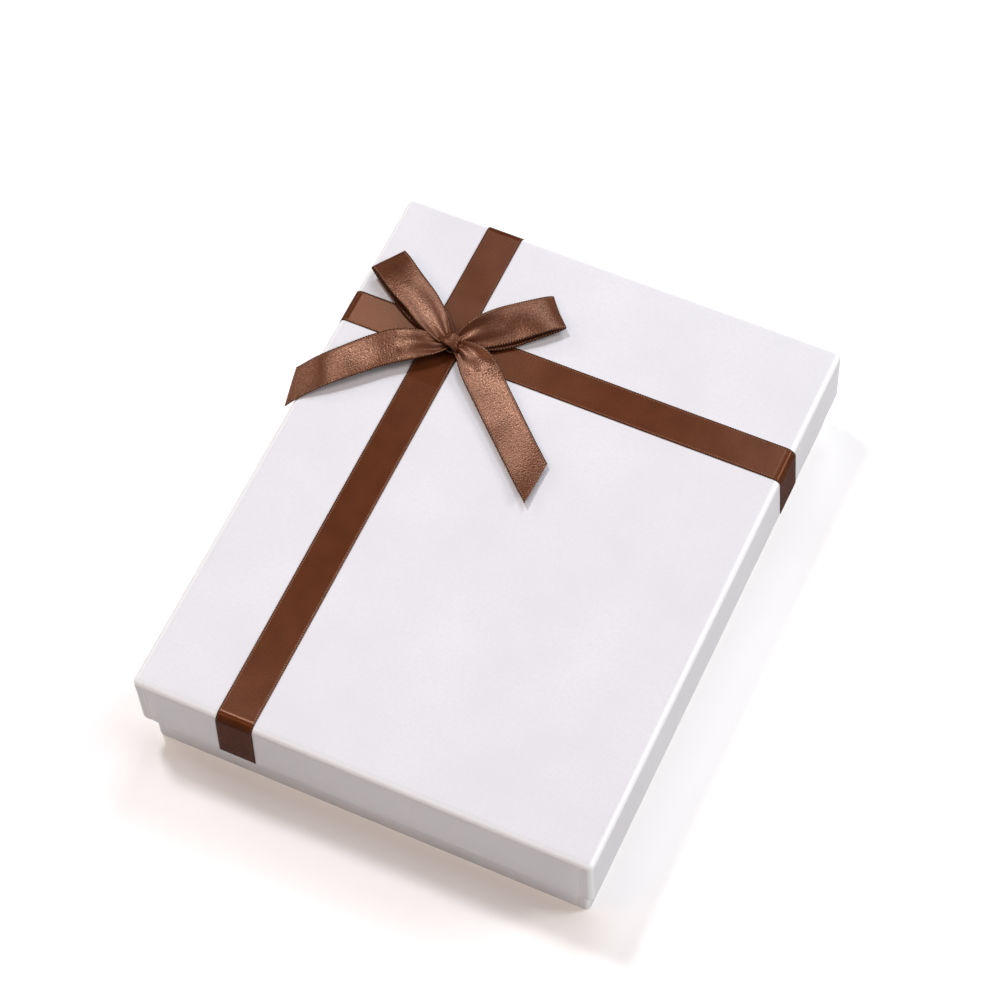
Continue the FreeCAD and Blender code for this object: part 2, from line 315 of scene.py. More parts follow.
@dataclass(frozen=True)
class FibreBoard:
    """Uncoated pulp board or paper: matt, with short darker fibres in it."""

    name: str
    colour: str
    fleck: str
    fleck_share: float = 0.5
    fibre_mm: float = 1.4
    roughness: float = 0.85
    bump_mm: float = 0.03
    tooth_mm: float = 0.5

    def build(self) -> bpy.types.Material:
        """Stretched noise reads as fibres lying every way; the fine one gives the tooth.

        Returns:
            The material.
        """
        paint = Paint(self.name)
        along = paint.stretch(paint.place, (1.0, 5.0, 3.0), (0.2, 0.5, 0.9))
        fibre = paint.noise_over(along, 1 / (self.fibre_mm * MM) / 3, 3.0, 0.7)
        tooth = paint.noise(self.tooth_mm, 3.0)
        colour = paint.blend(paint.spread(fibre, 0.56, 0.68, 0.0, self.fleck_share), self.colour, self.fleck)
        roughness = paint.spread(tooth, to_low=self.roughness - 0.08, to_high=self.roughness + 0.08)
        paint.emboss(tooth, 0.6, self.bump_mm)
        return paint.finish(colour, roughness, {"Specular IOR Level": 0.3})


@dataclass(frozen=True)
class SatinRibbon:
    """Polyester satin ribbon, woven in satin weave with a firm picot selvedge.

    The warp floats run along the ribbon, so its face has a broad, slightly grainy shine. The real threads
    are about 0.1 mm, too fine to show, so they are drawn wider. Its map is in millimetres: X across the
    ribbon, Y along it.
    """

    weave: Weave
    colour: str
    glow: str
    edge_dark: str
    edge_light: str
    width_mm: float = 10.0
    selvedge_mm: float = 0.62
    cord_mm: float = 0.16
    stitch_mm: float = 0.72
    grain_mm: float = 0.42
    cloud_mm: float = 7.0
    speckle: float = 1.0
    thread_mm: float = 0.35
    roughness: float = 0.32
    anisotropy: float = 0.85
    shine: float = 1.0
    shine_tint: str = "#FFC3A2"
    sparkle_mm: float = 0.058

    def build(self) -> bpy.types.Material:
        """Threads along the ribbon, a weft grain, and a stitched selvedge on both edges.

        Returns:
            The material.
        """
        paint = Paint(f"brown polyester satin ribbon, {self.weave.value}")
        flat = add_node(paint.tree, "UVMap", uv_map=FLAT_MAP).outputs[0]
        across, along, _ = add_node(paint.tree, "SeparateXYZ", {0: flat}).outputs
        threads = paint.noise_over(paint.stretch(flat, (1 / self.thread_mm, 0.12, 1.0)), 1.0, 2.0)
        grain = paint.noise_over(paint.stretch(flat, (1.0, 0.85, 1.0)), 1 / self.grain_mm, 1.5, 0.6)
        cloud = paint.noise_over(flat, 1 / self.cloud_mm, 1.0)
        face = paint.blend(paint.spread(paint.sum("ADD", grain, cloud), 0.75, 1.3), self.colour, self.glow)
        distance = paint.sum("ABSOLUTE", paint.sum("SUBTRACT", across, self.width_mm / 2))
        stitch = self._stitches(paint, along)
        border = self.width_mm / 2 - self.selvedge_mm
        selvedge = paint.spread(distance, border - 0.1, border + 0.1)
        colour = paint.blend(selvedge, face, self._edge(paint, distance, stitch, border))
        cloth = paint.sum("ADD", threads, grain)
        paint.emboss(paint.sum("MULTIPLY_ADD", paint.sum("MULTIPLY", stitch, selvedge), 2.0, cloth),
                     1.0, self.sparkle_mm)
        roughness = paint.spread(grain, 0.35, 0.65, self.roughness + 0.12 * self.speckle,
                                 self.roughness - 0.07 * self.speckle)
        tangent = add_node(paint.tree, "Tangent", direction_type="UV_MAP", uv_map=FLAT_MAP)
        paint.tree.links.new(tangent.outputs[0], paint.shader.inputs["Tangent"])
        return paint.finish(colour, roughness, {"Anisotropic": self.anisotropy, "IOR": 1.55,
                                                "Specular IOR Level": self.shine,
                                                "Specular Tint": self.shine_tint})

    def _stitches(self, paint: Paint, along: Socket) -> Socket:
        """The selvedge's stitches: a wave along the ribbon."""
        wave = paint.sum("SINE", paint.sum("MULTIPLY", along, 2 * math.pi / self.stitch_mm))
        return paint.spread(wave, -0.5, 0.8)

    def _edge(self, paint: Paint, distance: Socket, stitch: Socket, border: float) -> Socket:
        """The selvedge's colour: dark loops, and a beaded cord beside the satin.

        Args:
            paint: the satin's material so far.
            distance: the distance from the middle line.
            stitch: the stitches, from 0 to 1.
            border: where the selvedge starts.

        Returns:
            The colour.
        """
        loops = paint.blend(stitch, self.edge_dark, self.glow)
        cord = paint.sum("COMPARE", distance, border + self.cord_mm, self.cord_mm)
        beads = paint.spread(stitch, to_low=0.25)
        return paint.blend(paint.sum("MULTIPLY", cord, beads), loops, self.edge_light)


@dataclass(frozen=True)
class FlockedVelvet:
    """Black flocked sheet: short nylon fibres stood in glue, so it is dark face on and pale at a slant."""

    name: str = "black flocked velvet"
    colour: str = "#131213"
    lint: str = "#242224"
    tips: str = "#8C898C"
    pile_mm: float = 0.45
    patch_mm: float = 16.0
    bump_mm: float = 0.12

    def build(self) -> bpy.types.Material:
        """Fine pile grain, brushed patches, and a sheen for the fibre tips.

        Returns:
            The material.
        """
        paint = Paint(self.name)
        pile = paint.noise(self.pile_mm, 3.0, 0.7)
        brushed = paint.sum("MULTIPLY", pile, paint.noise(self.patch_mm))
        colour = paint.blend(paint.spread(brushed, 0.15, 0.4), self.colour, self.lint)
        paint.emboss(pile, 0.8, self.bump_mm)
        return paint.finish(colour, paint.spread(pile, to_low=0.85),
                            {"Specular IOR Level": 0.15, "Sheen Weight": 0.8, "Sheen Roughness": 0.35,
                             "Sheen Tint": self.tips})


@dataclass(frozen=True)
class SheetFoam:
    """Closed-cell polyethylene sheet foam or cut sponge: matt, with small cells on its skin."""

    name: str
    colour: str
    # Painted shade: the darker colour of the grooves between the cells.
    pit_shade: str
    cell_mm: float
    bump_mm: float

    def build(self) -> bpy.types.Material:
        """Cells as a Voronoi web, with painted shade in the grooves between them, and a little light let
        through.

        Returns:
            The material.
        """
        paint = Paint(self.name)
        cells = add_node(paint.tree, "TexVoronoi", {"Vector": paint.place, "Scale": 1 / (self.cell_mm * MM)})
        web = cells.outputs["Distance"]
        # Painted shade: darker towards the cell borders, where the bump sinks the grooves.
        colour = paint.blend(paint.spread(web, 0.1, 0.75), self.colour, self.pit_shade)
        paint.emboss(web, 0.5, self.bump_mm, invert=True)
        return paint.finish(colour, paint.spread(web, to_low=0.6, to_high=0.9),
                            {"Subsurface Weight": 0.1, "Subsurface Scale": 0.8 * MM})


@dataclass(frozen=True)
class HotGlue:
    """A squashed drop of hot-melt glue: cloudy, waxy and a little yellow."""

    name: str = "hot-melt glue"
    colour: str = "#D9CFB4"
    core: str = "#C4B48C"
    cloud_mm: float = 1.8

    def build(self) -> bpy.types.Material:
        """Cloudy wax with light under its skin.

        Returns:
            The material.
        """
        paint = Paint(self.name)
        cloud = paint.noise(self.cloud_mm)
        return paint.finish(paint.blend(cloud, self.colour, self.core),
                            paint.spread(cloud, to_low=0.2, to_high=0.4),
                            {"Subsurface Weight": 0.4, "Subsurface Scale": 1.0 * MM})


@dataclass(frozen=True)
class TableTop:
    """A matt white laminate, lit a little from within so that shadows on it stay soft."""

    name: str = "white table top"
    colour: str = "#FFFFFF"
    cloud: str = "#FDFDFD"
    cloud_mm: float = 1000 / 3
    glow: float = 0.16
    glow_colour: str = "#FFF4EA"

    def build(self) -> bpy.types.Material:
        """A very faint cloud of tone over white."""
        paint = Paint(self.name)
        return paint.finish(paint.blend(paint.noise(self.cloud_mm), self.colour, self.cloud), 0.9,
                            {"Emission Color": self.glow_colour, "Emission Strength": self.glow})


@dataclass(frozen=True)
class Finishes:
    """Every finish on the box, built once."""

    wrap: bpy.types.Material
    liner: bpy.types.Material
    board: bpy.types.Material
    kraft: bpy.types.Material
    band: bpy.types.Material
    bow: bpy.types.Material
    velvet: bpy.types.Material
    core_foam: bpy.types.Material
    cover_foam: bpy.types.Material
    glue: bpy.types.Material

    @classmethod
    def build(cls) -> "Finishes":
        """Builds the materials.

        Returns:
            The finishes.
        """
        return cls(
            wrap=WrapPaper().build(),
            liner=FibreBoard("white liner paper", "#ECEBE9", "#DAD8D4", 0.4, 1.6, 0.8, 0.015).build(),
            board=FibreBoard("greyboard", "#8D857A", "#5E574E", 0.7).build(),
            kraft=FibreBoard("gummed kraft paper", "#B08A5C", "#8E6B42", 0.5, 1.8, 0.7).build(),
            # The flat runs' colours are lighter than the bow's, though both are one ribbon: painted sheen,
            # standing in for the shine turned down on them.
            band=SatinRibbon(Weave.FLAT, "#4F2510", "#5C2E15", "#2A140A", "#7A4C34", roughness=0.28,
                             speckle=0.3, anisotropy=0.93, shine=0.46, sparkle_mm=0.011).build(),
            bow=SatinRibbon(Weave.FREE, "#451F0E", "#5C301B", "#1E0E08", "#8A5C42").build(),
            velvet=FlockedVelvet().build(),
            core_foam=SheetFoam("grey sponge foam", "#4A4A4C", "#303032", 0.9, 0.1).build(),
            cover_foam=SheetFoam("white sheet foam", "#F3F3F1", "#E9E9E7", 0.9, 0.03).build(),
            glue=HotGlue().build(),
        )


# --- Wrapped board shells ---------------------------------------------------------------------


@dataclass
class WrappedShell:
    """The paper skin of a board tray: outside walls, one closed end, and the turn-in inside the rim."""

    name: str
    node: str
    body: str
    paper: float
    edge_radius: float
    wall: float
    turn_in: float
    mouth_down: bool
    seed: float
    bend_segments: int = 7
    rim_radius: float = 0.3 * MM
    rim_margin: float = 0.5 * MM
    margin: float = 0.25 * MM
    grid: float = 6.0 * MM
    wobble: float = 0.03 * MM
    swell_size: float = 38 * MM
    swell_share: float = 0.7
    ripple_size: float = 9 * MM
    ripple_share: float = 0.3
    seam_inset: float = 1.5 * MM
    seam_depth: float = 0.09 * MM
    crease: float = 0.12 * MM
    low: Vector = field(init=False)
    high: Vector = field(init=False)

    def __post_init__(self) -> None:
        """Takes the shell's size from its CAD node."""
        self.low, self.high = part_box(self.node)

    def build(self, material: bpy.types.Material) -> bpy.types.Object:
        """Builds the skin in the paper's own folds.

        Args:
            material: the wrap paper.

        Returns:
            The finished piece, riding on its body.
        """
        bm = block(self.low, self.high)
        self._fold_block(bm)
        self._cut_corner_seams(bm)
        self._relax(bm)
        self._turn_in_rim(bm)
        bmesh.ops.remove_doubles(bm, verts=bm.verts[:], dist=0.003 * MM)
        bmesh.ops.recalc_face_normals(bm, faces=bm.faces[:])
        self._face_outwards(bm)
        piece = new_object(self.name, bm, material)
        thicken(piece, self.paper, -1.0)
        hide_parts(self.node)
        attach(piece, self.body)
        return piece

    def _fold_block(self, bm: bmesh.types.BMesh) -> None:
        """Opens the block at the rim, rounds its folds and cuts a grid of loops into it.

        Args:
            bm: the shell's mesh.
        """
        rim = self.low.z if self.mouth_down else self.high.z
        open_faces = [f for f in bm.faces if abs(f.calc_center_median().z - rim) < 1e-6]
        bmesh.ops.delete(bm, geom=open_faces, context="FACES_ONLY")
        round_edges(bm, [e for e in bm.edges if not e.is_boundary], self.edge_radius, self.bend_segments)
        keep = self.edge_radius + self.margin
        for axis in (0, 1):
            slice_grid(bm, axis, steps(self.low[axis] + keep, self.high[axis] - keep, self.grid))
        if self.mouth_down:
            lowest, highest = rim + self.rim_margin, self.high.z - keep
        else:
            lowest, highest = self.low.z + keep, rim - self.rim_margin
        slice_grid(bm, 2, steps(lowest, highest, self.grid))

    def _cut_corner_seams(self, bm: bmesh.types.BMesh) -> None:
        """Scores the joint where the end panel's paper is glued over the side panel's flap.

        Args:
            bm: the shell's mesh.
        """
        seam = self.high.x - self.edge_radius - self.seam_inset
        for middle in (-seam, seam):
            slice_grid(bm, 0, (middle - self.crease, middle, middle + self.crease))
        end_wall = self.high.y - self.edge_radius * 0.5
        for vert in bm.verts:
            if abs(abs(vert.co.x) - seam) < 1e-6 and abs(vert.co.y) > end_wall:
                vert.co.y -= math.copysign(self.seam_depth, vert.co.y)

    def _relax(self, bm: bmesh.types.BMesh) -> None:
        """Lets the board and paper wander a few hundredths of a millimetre from true.

        Args:
            bm: the shell's mesh.
        """
        bm.normal_update()
        for vert in bm.verts:
            amount = (self.swell_share * wander(vert.co, self.swell_size, self.seed)
                      + self.ripple_share * wander(vert.co, self.ripple_size, self.seed + 4))
            if not vert.is_boundary:
                vert.co -= vert.normal * self.wobble * (0.5 + 0.5 * amount)

    def _turn_in_rim(self, bm: bmesh.types.BMesh) -> None:
        """Folds the paper over the rim and glues it up the inside of the wall.

        Args:
            bm: the shell's mesh.
        """
        inward = 1.0 if self.mouth_down else -1.0
        rim_edges = [e for e in bm.edges if e.is_boundary]
        outline = {v: self._inward(v) for e in rim_edges for v in e.verts}
        new_edges = self._extrude(bm, rim_edges)
        for vert in {v for e in new_edges for v in e.verts}:
            source = min(outline, key=lambda v: (v.co - vert.co).length_squared)
            vert.co += outline[source] * self.wall
        top_edges = self._extrude(bm, new_edges)
        bmesh.ops.translate(bm, verts=list({v for e in top_edges for v in e.verts}),
                            vec=UP * inward * self.turn_in)
        round_edges(bm, rim_edges + new_edges, self.rim_radius, 3)

    def _extrude(self, bm: bmesh.types.BMesh, edges: list[bmesh.types.BMEdge]) -> list[bmesh.types.BMEdge]:
        """Extrudes edges in place and returns the new ones."""
        made = bmesh.ops.extrude_edge_only(bm, edges=edges)["geom"]
        return [g for g in made if isinstance(g, bmesh.types.BMEdge) and g.is_boundary]

    def _inward(self, vert: bmesh.types.BMVert) -> Vector:
        """The level direction from a rim point towards the inside of the wall.

        Args:
            vert: a point on the rim.

        Returns:
            A unit vector.
        """
        radius = self.edge_radius
        core = Vector((max(self.low.x + radius, min(self.high.x - radius, vert.co.x)),
                       max(self.low.y + radius, min(self.high.y - radius, vert.co.y)), vert.co.z))
        return (core - vert.co).normalized()

    def _face_outwards(self, bm: bmesh.types.BMesh) -> None:
        """Turns the skin over if its closed end faces inwards.

        Args:
            bm: the shell's mesh.
        """
        closed = self.high.z if self.mouth_down else self.low.z
        panel = min(bm.faces, key=lambda f: abs(f.calc_center_median().z - closed)
                    + f.calc_center_median().xy.length)
        wanted = 1.0 if self.mouth_down else -1.0
        if panel.normal.z * wanted < 0:
            bmesh.ops.reverse_faces(bm, faces=bm.faces[:])


# --- Ribbons ------------------------------------------------------------------------------------


@dataclass(frozen=True)
class Footing:
    """A place on a ribbon's middle line: where it is, which way is across, and which way is up."""

    point: Vector
    across: Vector
    face: Vector


@dataclass(frozen=True)
class Run:
    """A corner of a route in one upright plane, with the radius that the ribbon bends round it."""

    reach: float
    height: float
    radius: float


class Route:
    """A ribbon's way round the lid: straight runs joined by arcs, in one upright plane."""

    def __init__(self, corners: Sequence[Run]) -> None:
        """Lays out the runs and arcs.

        Args:
            corners: the route's corners in order; the first and last are its ends.
        """
        places = [Vector((c.reach, c.height)) for c in corners]
        self.pieces: list[tuple[float, Callable[[float], tuple[Vector, Vector]]]] = []
        start = places[0]
        for before, corner, after, spec in zip(places, places[1:], places[2:], corners[1:-1]):
            come = (corner - before).normalized()
            leave = (after - corner).normalized()
            turn = come.angle_signed(leave)
            cut = abs(spec.radius * math.tan(turn / 2))
            self._add_line(start, corner - come * cut)
            self._add_arc(corner - come * cut, come, spec.radius, turn)
            start = corner + leave * cut
        self._add_line(start, places[-1])
        self.length = sum(length for length, _ in self.pieces)

    def _add_line(self, start: Vector, end: Vector) -> None:
        """Adds a straight run."""
        way = (end - start).normalized()
        self.pieces.append(((end - start).length, lambda s: (start + way * s, way)))

    def _add_arc(self, start: Vector, way: Vector, radius: float, turn: float) -> None:
        """Adds an arc that leaves along way; a positive turn is clockwise, as mathutils measures it.

        Args:
            start: where it starts.
            way: the direction there.
            radius: its radius.
            turn: how far it turns, in radians.
        """
        side = -1.0 if turn > 0 else 1.0
        normal = Vector((-way.y, way.x)) * side

        def place(s: float) -> tuple[Vector, Vector]:
            """The place and direction at a distance along the arc."""
            angle = s / radius
            point = start + way * (radius * math.sin(angle)) + normal * (radius * (1 - math.cos(angle)))
            return point, way * math.cos(angle) + normal * math.sin(angle)

        self.pieces.append((radius * abs(turn), place))

    def at(self, distance: float) -> tuple[Vector, Vector]:
        """The place and direction at a distance along the route.

        Args:
            distance: how far along.

        Returns:
            The place and the direction, in the route's own plane.
        """
        for length, place in self.pieces:
            if distance <= length:
                return place(distance)
            distance -= length
        return self.pieces[-1][1](self.pieces[-1][0])


@dataclass(frozen=True)
class Hold:
    """How a bow ribbon is held at one place, measured from the knot along its heading."""

    along: float
    side: float
    height: float
    lean: float = 0.0
    spread: float = 1.0
    cup: float = 0.0


class Draped:
    """A free ribbon's middle line: a smooth curve through the places where it is held."""

    SAMPLES = 400
    LAST_SHARE = 0.999999

    def __init__(self, knot: Vector, heading: float, holds: Sequence[Hold]) -> None:
        """Measures the curve so that the flat ribbon can be laid along it.

        Args:
            knot: the point that the holds are measured from, at the lid's top.
            heading: the direction the ribbon leaves in, in degrees from +X.
            holds: the places it passes, in millimetres and degrees.
        """
        self.knot = knot
        self.ahead = Vector((math.cos(math.radians(heading)), math.sin(math.radians(heading)), 0.0))
        self.left = UP.cross(self.ahead)
        self.holds = holds
        self.table: list[tuple[float, float]] = [(0.0, 0.0)]
        last = self._place(0.0)
        for i in range(1, self.SAMPLES + 1):
            here = self._place(i / self.SAMPLES)
            self.table.append((self.table[-1][0] + (here - last).length, i / self.SAMPLES))
            last = here
        self.length = self.table[-1][0]

    def _blend(self, share: float, pick: Callable[[Hold], float]) -> float:
        """Catmull-Rom blend of one value of the holds, at a share of the way.

        Args:
            share: the share of the way.
            pick: which value of a hold.

        Returns:
            The blended value.
        """
        last = len(self.holds) - 1
        where = min(share, self.LAST_SHARE) * last
        i = int(where)
        t = where - i
        p0, p1, p2, p3 = (pick(self.holds[min(max(k, 0), last)]) for k in (i - 1, i, i + 1, i + 2))
        return 0.5 * (2 * p1 + (p2 - p0) * t + (2 * p0 - 5 * p1 + 4 * p2 - p3) * t * t
                      + (3 * p1 - p0 - 3 * p2 + p3) * t * t * t)

    def _place(self, share: float) -> Vector:
        """The middle line's point at a share of the way.

        Args:
            share: the share of the way.

        Returns:
            The point, in metres.
        """
        along = self._blend(share, lambda h: h.along) * MM
        side = self._blend(share, lambda h: h.side) * MM
        height = self._blend(share, lambda h: h.height) * MM
        return self.knot + self.ahead * along + self.left * side + UP * height

    def share_at(self, distance: float) -> float:
        """The share of the way at a distance along the ribbon.

        Args:
            distance: how far along.

        Returns:
            The share, from 0 to 1.
        """
        for (d0, s0), (d1, s1) in zip(self.table, self.table[1:]):
            if distance <= d1:
                return s0 + (s1 - s0) * (distance - d0) / max(d1 - d0, 1e-12)
        return 1.0

    def footing(self, distance: float) -> tuple[Footing, float, float]:
        """The place, and the ribbon's spread and cup, at a distance along it.

        Args:
            distance: how far along.

        Returns:
            The footing, the share of its width that shows, and the cup's height.
        """
        share = self.share_at(distance)
        step = 0.5 / self.SAMPLES
        point = self._place(share)
        way = (self._place(min(share + step, 1.0)) - self._place(max(share - step, 0.0))).normalized()
        lean = math.radians(self._blend(share, lambda h: h.lean))
        across = self.left * math.cos(lean) + UP * math.sin(lean)
        across = (across - way * across.dot(way)).normalized()
        spread = self._blend(share, lambda h: h.spread)
        cup = self._blend(share, lambda h: h.cup) * MM
        return Footing(point, across, way.cross(across).normalized()), spread, cup


@dataclass
class Ribbon:
    """One cut length of the satin ribbon, from its flat cut to its place."""

    name: str
    width: float = 10.0 * MM
    thickness: float = 0.2 * MM
    row_pitch: float = 0.34 * MM
    columns: int = 16
    picot: float = 0.06 * MM

    def cut(self, length: float, slant: float = 0.0) -> bmesh.types.BMesh:
        """Cuts the flat ribbon: X across it, Y along it, and a map of both in millimetres.

        Args:
            length: its longer edge.
            slant: how much shorter its +X edge is at the far end.

        Returns:
            The flat mesh, with its middle line on X = 0.
        """
        bm = bmesh.new()
        rows = round(length / self.row_pitch)
        place = Matrix.Translation((0.0, length / 2, 0.0)) @ Matrix.Diagonal((self.width, length, 1.0, 1.0))
        bmesh.ops.create_grid(bm, x_segments=self.columns, y_segments=rows, size=0.5, matrix=place)
        if slant:
            corner = Vector((self.width / 2, length - slant, 0.0))
            edge = Vector((-self.width, slant, 0.0))
            normal = Vector((-edge.y, edge.x, 0.0)).normalized()
            if normal.y < 0:
                normal = -normal
            bmesh.ops.bisect_plane(bm, geom=bm.verts[:] + bm.edges[:] + bm.faces[:], dist=1e-7,
                                   plane_co=corner, plane_no=normal, clear_outer=True)
        flat = bm.loops.layers.uv.new(FLAT_MAP)
        for face in bm.faces:
            for loop in face.loops:
                x, y, _ = loop.vert.co
                loop[flat].uv = ((x + self.width / 2) / MM, y / MM)
        for vert in bm.verts:
            if abs(abs(vert.co.x) - self.width / 2) < 1e-7:
                row = round(vert.co.y / self.row_pitch)
                vert.co.x += math.copysign(self.picot, vert.co.x) * (1 if row % 2 else -1)
        return bm

    def finish(self, bm: bmesh.types.BMesh, material: bpy.types.Material, node: str,
               flat_length: float, held: str, rests_on: list[str]) -> bpy.types.Object:
        """Turns the laid mesh into the finished piece.

        Args:
            bm: the ribbon where it lies.
            material: its satin.
            node: the CAD node it replaces.
            flat_length: the length it was cut to; not used.
            rests_on: what it lies on or hangs from; not used.

        Returns:
            The piece.
        """
        bmesh.ops.recalc_face_normals(bm, faces=bm.faces[:])
        piece = new_object(self.name, bm, material)
        thicken(piece, self.thickness)
        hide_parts(node)
        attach(piece, "lid")
        return piece


@dataclass
class RibbonCross:
    """The two ribbons that cross on the lid, pulled flat and turned in under its rim."""

    material: bpy.types.Material
    lift: float = 0.14 * MM
    turn_in: float = 7.0 * MM
    wall: float = 1.6 * MM
    lid_radius: float = 1.9 * MM
    slack: float = 0.35 * MM
    rim_bend: float = 0.32 * MM
    climb: float = 9.0 * MM
    climb_bend: float = 2.0 * MM
    climb_gap: float = 0.03 * MM
    climb_margin: float = 0.2 * MM
    buckle: float = 0.03 * MM
    buckle_size: float = 9 * MM
    sway: float = 0.12 * MM
    sway_size: float = 60 * MM
    crosswise_leans: tuple[float, float] = (0.4 * MM, 2.0 * MM)
    lengthwise_leans: tuple[float, float] = (1.0 * MM, -0.5 * MM)
    low: Vector = field(init=False)
    high: Vector = field(init=False)

    def __post_init__(self) -> None:
        """Takes the lid's corners from its paper."""
        self.low, self.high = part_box("lid_wrap")

    def build(self) -> list[bpy.types.Object]:
        """Lays the crosswise ribbon, then the lengthwise one over it.

        Returns:
            The two pieces.
        """
        across_low, across_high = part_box("ribbon_crosswise")
        along_low, along_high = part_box("ribbon_lengthwise")
        cross_y = (across_low.y + across_high.y) / 2
        cross_x = (along_low.x + along_high.x) / 2
        return [
            self._lay("ribbon_crosswise", Vector((1.0, 0.0, 0.0)), cross_y, None, self.crosswise_leans),
            self._lay("ribbon_lengthwise", Vector((0.0, 1.0, 0.0)), cross_x, cross_y, self.lengthwise_leans),
        ]

    def _corners(self, half: float, over: float | None) -> list[Run]:
        """The route's corners, from one turned-in end over the lid to the other.

        Args:
            half: half the lid's size that way.
            over: where the route climbs over the other ribbon, if it does.

        Returns:
            The corners, in order.
        """
        inner = half - self.wall - self.lift
        outer = half + self.lift
        under = self.low.z - self.lift
        top = self.high.z + self.lift
        side = [Run(inner, self.low.z + self.turn_in, 0.0), Run(inner, under, self.rim_bend),
                Run(outer, under, self.rim_bend), Run(outer, top, self.lid_radius + self.lift + self.slack)]
        corners = [Run(-c.reach, c.height, c.radius) for c in side]
        if over is not None:
            ridge = top + Ribbon.thickness + self.climb_gap
            half_ridge = Ribbon.width / 2 + self.climb_margin
            for reach, height in ((-half_ridge - self.climb, top), (-half_ridge, ridge),
                                  (half_ridge, ridge), (half_ridge + self.climb, top)):
                corners.append(Run(over + reach, height, self.climb_bend))
        return corners + side[::-1]

    def _lay(self, node: str, way: Vector, offset: float, over: float | None,
             leans: tuple[float, float]) -> bpy.types.Object:
        """Cuts one ribbon to the length of its route and lays it there.

        Args:
            node: the CAD node it replaces.
            way: the direction it runs in over the lid.
            offset: the place of its middle line on the other axis.
            over: where it climbs over the other ribbon, if it does.
            leans: how far its start and its end lean sideways by the rim.

        Returns:
            The piece.
        """
        half = (self.high - self.low).dot(way) / 2
        drop = self.high.z - self.low.z
        route = Route(self._corners(half, over))
        across = UP.cross(way)
        middle = across * (offset if way.x else -offset)
        ribbon = Ribbon(node + "_satin")
        bm = ribbon.cut(route.length)
        for vert in bm.verts:
            point, heading = route.at(vert.co.y)
            from_end = min(vert.co.y, route.length - vert.co.y)
            lean = leans[0] if vert.co.y < route.length / 2 else leans[1]
            sway = self.sway * wander(Vector((vert.co.y, offset, 0.0)), self.sway_size, 3.0)
            sway += lean * max(0.0, 1 - (from_end - self.turn_in - self.wall) / drop)
            ripple = self.buckle * wander(vert.co + Vector((offset, 0.0, 0.0)), self.buckle_size, 5.0)
            place = point + Vector((-heading.y, heading.x)) * ripple
            vert.co = way * place.x + UP * place.y + middle + across * (vert.co.x + sway)
        return ribbon.finish(bm, self.material, node, route.length, "stretched", ["lid_board"])


@dataclass(frozen=True)
class Strand:
    """One ribbon of the bow: the way it leaves the knot, the slant of its cut end, and its holds."""

    node: str
    heading: float
    slant_mm: float
    held: str
    holds: Sequence[Hold]


@dataclass(frozen=True)
class KnotOutline:
    """The knot band's outline across it: a rolled fold on one side and small folds between."""

    height: float = 0.80
    roll: float = 0.24
    roll_place: float = -0.55
    roll_width: float = 0.32
    tilt: float = 0.10
    fold_depth: float = 0.035
    fold_count: float = 7.0
    edge_drop: float = 0.12

    def rise(self, share: float) -> float:
        """The outline's height at a place across it.

        Args:
            share: the place, from -1 to 1.

        Returns:
            The height, as a share of the knot's half height.
        """
        roll = self.roll * math.exp(-((share - self.roll_place) / self.roll_width) ** 2)
        folds = self.fold_depth * math.cos(self.fold_count * math.pi * share)
        return self.height + roll - self.tilt * share + folds - self.edge_drop * share ** 6


